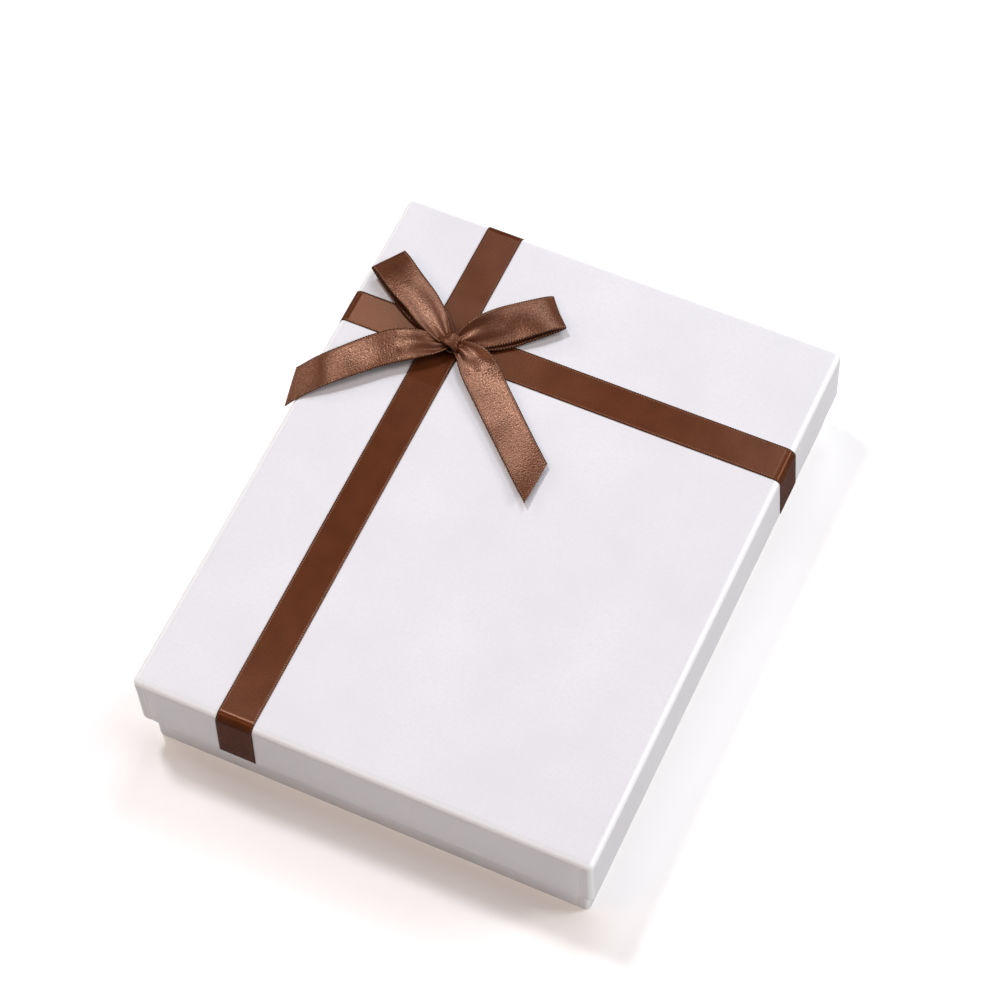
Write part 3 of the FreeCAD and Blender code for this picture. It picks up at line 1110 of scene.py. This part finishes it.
@dataclass
class Bow:
    """The shoelace bow glued on the crossing: two loops, two tails and the knot that ties them."""

    material: bpy.types.Material
    glue: bpy.types.Material
    buckle: float = 0.16 * MM
    buckle_size: float = 8.5 * MM
    cup_mean: float = 0.33
    pleats: float = 2.0
    pleat_share: float = 0.38
    pleat_phase: float = 0.7
    knot_turn: float = 79.0
    knot_shift: Vector = field(default_factory=lambda: Vector((-0.2, 1.2, 0.0)) * MM)
    knot_half_width: float = 2.1 * MM
    knot_half_depth: float = 3.1 * MM
    knot_flare: float = 0.12
    knot_crease: float = 0.05
    knot_crease_size: float = 1.3
    knot_face_mm: float = 9.0
    knot_clearance: float = 0.15 * MM
    knot_thickness: float = 0.25 * MM
    knot_columns: int = 28
    knot_rows: int = 72
    glue_share: float = 0.75
    glue_ripple: float = 0.12
    glue_flat: float = -0.8
    knot_point: Vector = field(init=False)

    def __post_init__(self) -> None:
        """Finds the knot over the ribbon crossing, at the height of the lid's top."""
        low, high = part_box("bow_knot")
        self.knot_point = Vector(((low.x + high.x) / 2, (low.y + high.y) / 2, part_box("lid_wrap")[1].z))

    def build(self) -> list[bpy.types.Object]:
        """Builds the loops, the tails, the knot and the glue."""
        pieces = [self._tie(strand) for strand in self._loops() + self._tails()]
        return pieces + [self._knot(), self._glue_drop()]

    def _loops(self) -> list[Strand]:
        """The loops: out over the top to the fold, and back under it.

        Returns:
            The left and the right loop.
        """
        left = [
            Hold(0.5, -0.2, 3.6, 0, 0.24), Hold(4.0, 0.2, 4.3, 4, 0.55), Hold(9.5, -0.2, 4.8, 6, 0.86, -0.5),
            Hold(15.6, -0.4, 5.2, 5, 0.96, -0.5), Hold(22.0, 0.1, 5.5, 3, 1.0, -0.3),
            Hold(28.6, 0.1, 5.3), Hold(31.7, 0.1, 4.2), Hold(30.0, 0.1, 2.9), Hold(23.0, 0.0, 2.0),
            Hold(15.0, -0.4, 1.8, 0, 0.98), Hold(10.0, -1.2, 2.0, 0, 0.86), Hold(4.5, -1.4, 2.5, 0, 0.52),
            Hold(0.5, -0.4, 2.9, 0, 0.25),
        ]
        right = [
            Hold(0.8, 0.4, 3.4, 10, 0.18), Hold(3.5, 0.5, 3.6, 24, 0.45), Hold(8.0, 0.4, 4.35, 30, 0.82, 0.3),
            Hold(14.5, 0.2, 4.6, 24, 0.99, 0.3), Hold(20.5, 0.0, 4.7, 15, 1.0, 0.1), Hold(25.0, 0.0, 4.5, 9),
            Hold(28.4, 0.0, 4.0, 7), Hold(30.3, 0.0, 3.2, 5), Hold(28.4, 0.0, 2.5, 6),
            Hold(22.0, 0.0, 2.1, 8), Hold(14.0, 0.0, 1.9, 8, 0.98), Hold(8.0, 0.2, 2.2, 6, 0.75),
            Hold(4.0, 0.3, 2.6, 4, 0.42), Hold(0.8, 0.2, 3.0, 0, 0.20),
        ]
        return [Strand("bow_loop_left", 146.0, 0.0, "folded", left),
                Strand("bow_loop_right", 43.5, 0.0, "folded", right)]

    def _tails(self) -> list[Strand]:
        """The tails: the left one hangs over the lid's edge, and the right one lies on the lid.

        Returns:
            The left and the right tail.
        """
        left = [
            Hold(0.6, -0.2, 3.4, -8, 0.20), Hold(4.0, -1.0, 4.3, -8, 0.55),
            Hold(8.0, -2.9, 4.6, -6, 0.86, -0.3), Hold(13.0, -4.6, 4.4, -3, 1.0, -0.3),
            Hold(18.0, -5.2, 4.1, -2, 1.0, -0.2), Hold(23.0, -5.3, 3.7), Hold(28.0, -5.4, 3.2, 3),
            Hold(33.5, -5.6, 2.3, 7),
            Hold(38.0, -5.8, 0.8, 11), Hold(41.8, -6.0, -0.9, 13), Hold(45.0, -6.0, -2.5, 14),
        ]
        right = [
            Hold(0.6, 1.4, 3.0, 8, 0.32), Hold(2.6, 2.6, 3.3, 14, 0.54), Hold(5.5, 3.6, 3.3, 12, 0.82, 0.4),
            Hold(10.0, 4.2, 2.8, 6, 1.0, 0.5), Hold(20.0, 4.2, 2.0, 2, 1.0, 0.3),
            Hold(31.0, 4.2, 1.6, 0, 1.0, 0.2), Hold(42.0, 4.2, 1.7, 0, 1.0, 0.2),
            Hold(51.0, 4.2, 2.2, 0, 1.0, 0.3),
        ]
        return [Strand("bow_tail_left", 225.0, -6.0, "draped", left),
                Strand("bow_tail_right", -42.0, 8.5, "laid", right)]

    def _tie(self, strand: Strand) -> bpy.types.Object:
        """Cuts one length of ribbon and shapes it from the knot outwards.

        Args:
            strand: which ribbon; a negative slant turns its cut over.

        Returns:
            The piece.
        """
        line = Draped(self.knot_point, strand.heading, strand.holds)
        ribbon = Ribbon(strand.node + "_satin")
        bm = ribbon.cut(line.length, abs(strand.slant_mm) * MM)
        turned = -1.0 if strand.slant_mm < 0 else 1.0
        cache: dict[int, tuple[Footing, float, float]] = {}
        for vert in bm.verts:
            key = round(vert.co.y * 1e7)
            if key not in cache:
                cache[key] = line.footing(vert.co.y)
            spot, spread, cup = cache[key]
            x = vert.co.x * turned
            share = 2 * x / ribbon.width
            height = cup * (share * share - self.cup_mean) + self._pleat(share, spread, ribbon.width)
            height += self.buckle * wander(vert.co + Vector((line.length, 0.0, 0.0)), self.buckle_size, 7.0)
            vert.co = spot.point + spot.across * (x * spread) + spot.face * height
        return ribbon.finish(bm, self.material, strand.node, line.length, strand.held,
                             ["lid_board", "bow_knot"])

    def _pleat(self, share: float, spread: float, width: float) -> float:
        """The height of the gathered folds: as deep as the full width needs at this spread.

        Args:
            share: the place across the ribbon, from -1 to 1.
            spread: the share of its width that shows.
            width: its flat width.

        Returns:
            The height over the middle surface.
        """
        spread = min(max(spread, 0.2), 1.0)
        depth = width * spread / (2 * math.pi * self.pleats) * math.sqrt(2 * (1 / spread ** 2 - 1))
        return self.pleat_share * depth * math.cos(math.pi * self.pleats * share + self.pleat_phase)

    def _glue_drop(self) -> bpy.types.Object:
        """The squashed drop that holds the knot to the crossing, kept under the knot.

        Returns:
            The piece.
        """
        low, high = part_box("bow_glue_dot")
        middle = (low + high) / 2 + self.knot_shift
        radius = self.glue_share * (high.x - low.x) / 2
        bm = bmesh.new()
        bmesh.ops.create_uvsphere(bm, u_segments=32, v_segments=16, radius=1.0)
        for vert in bm.verts:
            reach = radius * (1.0 + self.glue_ripple * wander(vert.co, 0.9, 4.0))
            height = max(vert.co.z, self.glue_flat) * (high.z - low.z) / 2
            vert.co = Vector((vert.co.x * reach, vert.co.y * reach, height)) + middle
        bmesh.ops.recalc_face_normals(bm, faces=bm.faces[:])
        piece = new_object("bow_glue_drop", bm, self.glue)
        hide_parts("bow_glue_dot")
        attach(piece, "lid")
        return piece

    def _knot(self) -> bpy.types.Object:
        """The band of gathered ribbon pulled tight round the bow's middle: a folded outline spun round.

        Returns:
            The piece.
        """
        low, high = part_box("bow_knot")
        half_height = (high.z - low.z) / 2 - self.knot_clearance
        bm = bmesh.new()
        outline = KnotOutline()
        row = []
        for i in range(self.knot_columns + 1):
            share = i / self.knot_columns * 2 - 1
            row.append(bm.verts.new((share * self.knot_half_width, 0.0, outline.rise(share))))
        edges = [bm.edges.new(pair) for pair in zip(row, row[1:])]
        bmesh.ops.spin(bm, geom=row + edges, cent=(0, 0, 0), axis=(1, 0, 0), angle=2 * math.pi,
                       steps=self.knot_rows, use_merge=True, use_duplicate=False)
        bmesh.ops.remove_doubles(bm, verts=bm.verts[:], dist=1e-9)
        self._map_knot(bm, math.pi * (self.knot_half_depth + half_height))
        for vert in bm.verts:
            x, y, z = vert.co
            crease = wander(Vector((x / MM, y * 1.5, z * 1.5)), self.knot_crease_size, 8.0)
            crease = 1.0 + self.knot_crease * crease
            vert.co = Vector((x * (1.0 + self.knot_flare * z), y * self.knot_half_depth * crease,
                              z * half_height * crease))
        turn = Matrix.Rotation(math.radians(self.knot_turn), 3, "Z")
        bmesh.ops.rotate(bm, verts=bm.verts[:], cent=(0, 0, 0), matrix=turn)
        bmesh.ops.translate(bm, verts=bm.verts[:], vec=(low + high) / 2 + self.knot_shift)
        bmesh.ops.recalc_face_normals(bm, faces=bm.faces[:])
        piece = new_object("bow_knot_satin", bm, self.material)
        thicken(piece, self.knot_thickness, -1.0)
        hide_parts("bow_knot")
        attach(piece, "lid")
        return piece

    def _map_knot(self, bm: bmesh.types.BMesh, girth: float) -> None:
        """Maps the band in millimetres: the ribbon's face across it, and its girth round it.

        Args:
            bm: the spun band.
            girth: its length round the knot.
        """
        flat = bm.loops.layers.uv.new(FLAT_MAP)
        middle = Ribbon.width / MM / 2
        for face in bm.faces:
            for loop in face.loops:
                x, y, z = loop.vert.co
                loop[flat].uv = (middle + self.knot_face_mm * x / (2 * self.knot_half_width),
                                 girth / MM * (math.atan2(y, z) / (2 * math.pi) + 0.5))


# --- What lies inside -----------------------------------------------------------------------------


@dataclass(frozen=True)
class Slit:
    """A slit in the insert, as a box in plan and its depth."""

    x: float
    y: float
    long: float
    wide: float
    depth: float

    def holds(self, point: Vector) -> bool:
        """Whether a point lies inside the slit, seen from above."""
        return abs(point.x - self.x) < self.long / 2 and abs(point.y - self.y) < self.wide / 2

    def lines(self, axis: int, lip: float) -> list[float]:
        """Where the slit's sides and lips lie along an axis."""
        centre = (self.x, self.y)[axis]
        half = (self.long, self.wide)[axis] / 2
        return [centre - half - lip, centre - half, centre + half, centre + half + lip]


@dataclass
class VelvetPad:
    """The flocked cap over the insert's foam, with pressed slits for a ring, earrings and a chain."""

    material: bpy.types.Material
    crown: float = 0.35 * MM
    crown_width: float = 9 * MM
    swell: float = 0.12 * MM
    swell_size: float = 26 * MM
    edge_radius: float = 1.2 * MM
    lip: float = 0.5 * MM
    lip_drop: float = 0.3 * MM
    margin: float = 0.2 * MM
    grid: float = 5.0 * MM

    def slits(self, top: Vector) -> list[Slit]:
        """The slits, laid out as in the foam under the cap: ring, earrings, and chain notches.

        Args:
            top: the pad's highest corner.

        Returns:
            The slits.
        """
        notch_y = top.y - 4.5 * MM
        return ([Slit(0.0, -34 * MM, 26 * MM, 2.4 * MM, 8.5 * MM)]
                + [Slit(x * MM, 4 * MM, 7 * MM, 1.6 * MM, 5.5 * MM) for x in (-15, 15)]
                + [Slit(x * MM, notch_y, 1.6 * MM, 8.9 * MM, 5.5 * MM) for x in (-30, 30)])

    def build(self) -> bpy.types.Object:
        """Builds the pad as a rounded slab whose slits are pushed down into it.

        Returns:
            The piece.
        """
        low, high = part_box("insert_velvet")
        bm = block(low, high)
        round_edges(bm, [e for e in bm.edges if max(v.co.z for v in e.verts) > high.z - 1e-6],
                    self.edge_radius, 5)
        slits = self.slits(high)
        keep = self.edge_radius + self.margin
        for axis in (0, 1):
            lines = steps(low[axis] + keep, high[axis] - keep, self.grid)
            lines += [line for slit in slits for line in slit.lines(axis, self.lip)]
            slice_grid(bm, axis, sorted(p for p in lines if abs(p) < high[axis] - keep + self.margin / 2))
        for slit in slits:
            self._press(bm, slit, high.z)
        for vert in bm.verts:
            if vert.co.z > high.z - 0.1 * MM:
                inset = min(1.0, min(high.x - abs(vert.co.x), high.y - abs(vert.co.y)) / self.crown_width)
                swell = 0.5 + 0.5 * wander(vert.co, self.swell_size, 6.0)
                vert.co.z -= self.crown * (1 - inset) + self.swell * swell
        bmesh.ops.recalc_face_normals(bm, faces=bm.faces[:])
        piece = new_object("insert_velvet_cap", bm, self.material)
        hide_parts("insert_velvet")
        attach(piece, "insert")
        return piece

    def _press(self, bm: bmesh.types.BMesh, slit: Slit, top: float) -> None:
        """Pushes the faces inside a slit down to its depth, and eases its lips.

        Args:
            bm: the pad's mesh.
            slit: where to press.
            top: the height of the pad's face.
        """
        inside = [f for f in bm.faces if f.normal.z > 0.9 and slit.holds(f.calc_center_median())
                  and f.calc_center_median().z > top - self.margin]
        border = {e for f in inside for e in f.edges if sum(g in inside for g in e.link_faces) == 1}
        for vert in {v for e in border for v in e.verts}:
            vert.co.z -= self.lip_drop
        made = bmesh.ops.extrude_face_region(bm, geom=inside)["geom"]
        floor = [g for g in made if isinstance(g, bmesh.types.BMVert)]
        bmesh.ops.delete(bm, geom=[f for f in inside if f.is_valid], context="FACES_ONLY")
        bmesh.ops.translate(bm, verts=floor, vec=(0.0, 0.0, -slit.depth))


@dataclass
class CoverSheet:
    """The soft foam sheet laid over the jewellery: cut square, a little wavy and soft at its edges."""

    material: bpy.types.Material
    corner_radius: float = 1.2 * MM
    rim_radius: float = 0.5 * MM
    sag: float = 0.25 * MM
    sag_size: float = 30 * MM
    margin: float = 1.8 * MM
    grid: float = 4.0 * MM

    def build(self) -> bpy.types.Object:
        """Builds the sheet inside its CAD solid's space.

        Returns:
            The piece.
        """
        low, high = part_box("cover_sheet")
        bm = block(low, high)
        upright = [e for e in bm.edges if self._rise(e) > (high.z - low.z) / 2]
        round_edges(bm, upright, self.corner_radius, 4)
        rims = [e for e in bm.edges
                if self._rise(e) < 1e-7 and sum(abs(f.normal.z) > 0.9 for f in e.link_faces) == 1]
        round_edges(bm, rims, self.rim_radius, 3)
        for axis in (0, 1):
            slice_grid(bm, axis, steps(low[axis] + self.margin, high[axis] - self.margin, self.grid))
        for vert in bm.verts:
            if vert.co.z > (low.z + high.z) / 2:
                vert.co.z -= self.sag * (0.5 + 0.5 * wander(vert.co, self.sag_size, 2.0))
        bmesh.ops.recalc_face_normals(bm, faces=bm.faces[:])
        piece = new_object("cover_sheet_foam", bm, self.material)
        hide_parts("cover_sheet")
        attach(piece, "cover_sheet")
        return piece

    def _rise(self, edge: bmesh.types.BMEdge) -> float:
        """How far an edge climbs from one end to the other."""
        return abs(edge.verts[0].co.z - edge.verts[1].co.z)


# --- The whole box --------------------------------------------------------------------------------


@dataclass
class GiftBox:
    """The box as it is put together: base, insert, cover sheet, lid, ribbons and bow."""

    finishes: Finishes

    def build(self) -> list[bpy.types.Object]:
        """Builds every piece in order.

        Returns:
            The new pieces.
        """
        base = WrappedShell("base_wrap_paper", "base_wrap", "base", paper=0.17 * MM, edge_radius=1.6 * MM,
                            wall=1.6 * MM, turn_in=8.9 * MM, mouth_down=False, seed=2.0)
        lid = WrappedShell("lid_wrap_paper", "lid_wrap", "lid", paper=0.17 * MM, edge_radius=1.9 * MM,
                           wall=1.6 * MM, turn_in=12.9 * MM, mouth_down=True, seed=5.0)
        pieces = [base.build(self.finishes.wrap), VelvetPad(self.finishes.velvet).build(),
                  CoverSheet(self.finishes.cover_foam).build(), lid.build(self.finishes.wrap)]
        pieces += RibbonCross(self.finishes.band).build()
        pieces += Bow(self.finishes.bow, self.finishes.glue).build()
        self.dress_frame()
        return pieces

    def dress_frame(self) -> None:
        """Gives the pieces that keep their CAD shape their own finishes."""
        by_start = {
            ("base_board", "lid_board", "insert_card"): self.finishes.board,
            ("base_liner", "lid_liner"): self.finishes.liner,
            ("base_corner_stay", "lid_corner_stay"): self.finishes.kraft,
            ("insert_foam",): self.finishes.core_foam,
        }
        for name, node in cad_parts.items():
            for starts, material in by_start.items():
                if name.startswith(starts):
                    for slot in node.material_slots:
                        slot.material = material


# --- The studio -------------------------------------------------------------------------------------


@dataclass(frozen=True)
class SoftBox:
    """One soft studio light, placed by compass and height round the box."""

    name: str
    azimuth: float
    elevation: float
    size: float
    power: float
    colour: str
    distance: float = 1.5

    def build(self, aim: Vector) -> None:
        """Hangs the light and points it at the box.

        Args:
            aim: the place it points at.
        """
        away = compass(self.azimuth, self.elevation)
        lamp = bpy.data.lights.new(self.name, "AREA")
        lamp.shape = "SQUARE"
        lamp.size = self.size
        lamp.energy = self.power
        lamp.color = linear_colour(self.colour)[:3]
        light = bpy.data.objects.new(self.name, lamp)
        light.location = aim + away * self.distance
        light.rotation_euler = away.to_track_quat("Z", "Y").to_euler()
        bpy.context.scene.collection.objects.link(light)


@dataclass(frozen=True)
class Studio:
    """A plain pale table top, soft lights, and the camera."""

    floor_size: float = 6.0
    world_colour: str = "#FFFFFF"
    world_strength: float = 0.12
    camera_azimuth: float = 28.71
    camera_elevation: float = 59.88
    camera_roll: float = -4.39
    camera_distance: float = 0.8407
    camera_lens: float = 113.99
    aim: tuple[float, float, float] = (-0.00916, 0.01956, 0.0015)

    def build(self) -> None:
        """Sets up everything round the box."""
        self._floor()
        self._world()
        self._lights()
        self._camera()
        bpy.context.scene.view_settings.view_transform = "Standard"

    def _floor(self) -> None:
        """A matt white table top just under the box."""
        bm = bmesh.new()
        bmesh.ops.create_grid(bm, x_segments=1, y_segments=1, size=self.floor_size / 2)
        floor = new_object("table_top", bm, TableTop().build())
        floor.visible_glossy = False

    def _world(self) -> None:
        """An even white surround."""
        world = bpy.data.worlds.new("white surround")
        world.use_nodes = True
        background = world.node_tree.nodes["Background"]
        background.inputs["Color"].default_value = linear_colour(self.world_colour)
        background.inputs["Strength"].default_value = self.world_strength
        bpy.context.scene.world = world

    def _lights(self) -> None:
        """Lights for the lid's top and both walls, and a small one for the satin's shine on the left."""
        for light in (
            SoftBox("overhead", 106.0, 68.6, 0.45, 4.3, "#EEF3FF"),
            SoftBox("satin_shine", -114.5, 67.6, 0.2, 8.2, "#FAFBFF"),
            SoftBox("back", 180.0, 54.0, 0.4, 4.4, "#EEF3FF"),
            SoftBox("front", -32.0, 58.0, 0.4, 2.5, "#FFC9A6"),
            SoftBox("left_side", -103.0, 28.0, 0.5, 2.8, "#FFF4EC"),
            SoftBox("right_side", 112.0, 34.0, 0.45, 7.5, "#FFFCFA"),
        ):
            light.build(Vector(self.aim))

    def _camera(self) -> None:
        """The camera, with a small roll and a long lens."""
        back = compass(self.camera_azimuth, self.camera_elevation)
        level = compass(self.camera_azimuth + 90.0, 0.0)
        upward = back.cross(level)
        roll = math.radians(self.camera_roll)
        right = level * math.cos(roll) + upward * math.sin(roll)
        top = upward * math.cos(roll) - level * math.sin(roll)
        data = bpy.data.cameras.new("camera")
        data.lens = self.camera_lens
        data.sensor_width = 36.0
        data.clip_start = 0.01
        camera = bpy.data.objects.new("camera", data)
        pose = Matrix((right, top, back)).transposed().to_4x4()
        camera.matrix_world = Matrix.Translation(Vector(self.aim) + back * self.camera_distance) @ pose
        bpy.context.scene.collection.objects.link(camera)
        bpy.context.scene.camera = camera


def main() -> None:
    """Builds the studio and the box, and reports each piece."""
    logging.basicConfig(level=logging.INFO, format="%(name)s: %(message)s")
    Studio().build()
    for piece in GiftBox(Finishes.build()).build():
        LOG.info("%s: %d faces", piece.name, len(piece.data.polygons))


if __name__ == "__main__":
    main()
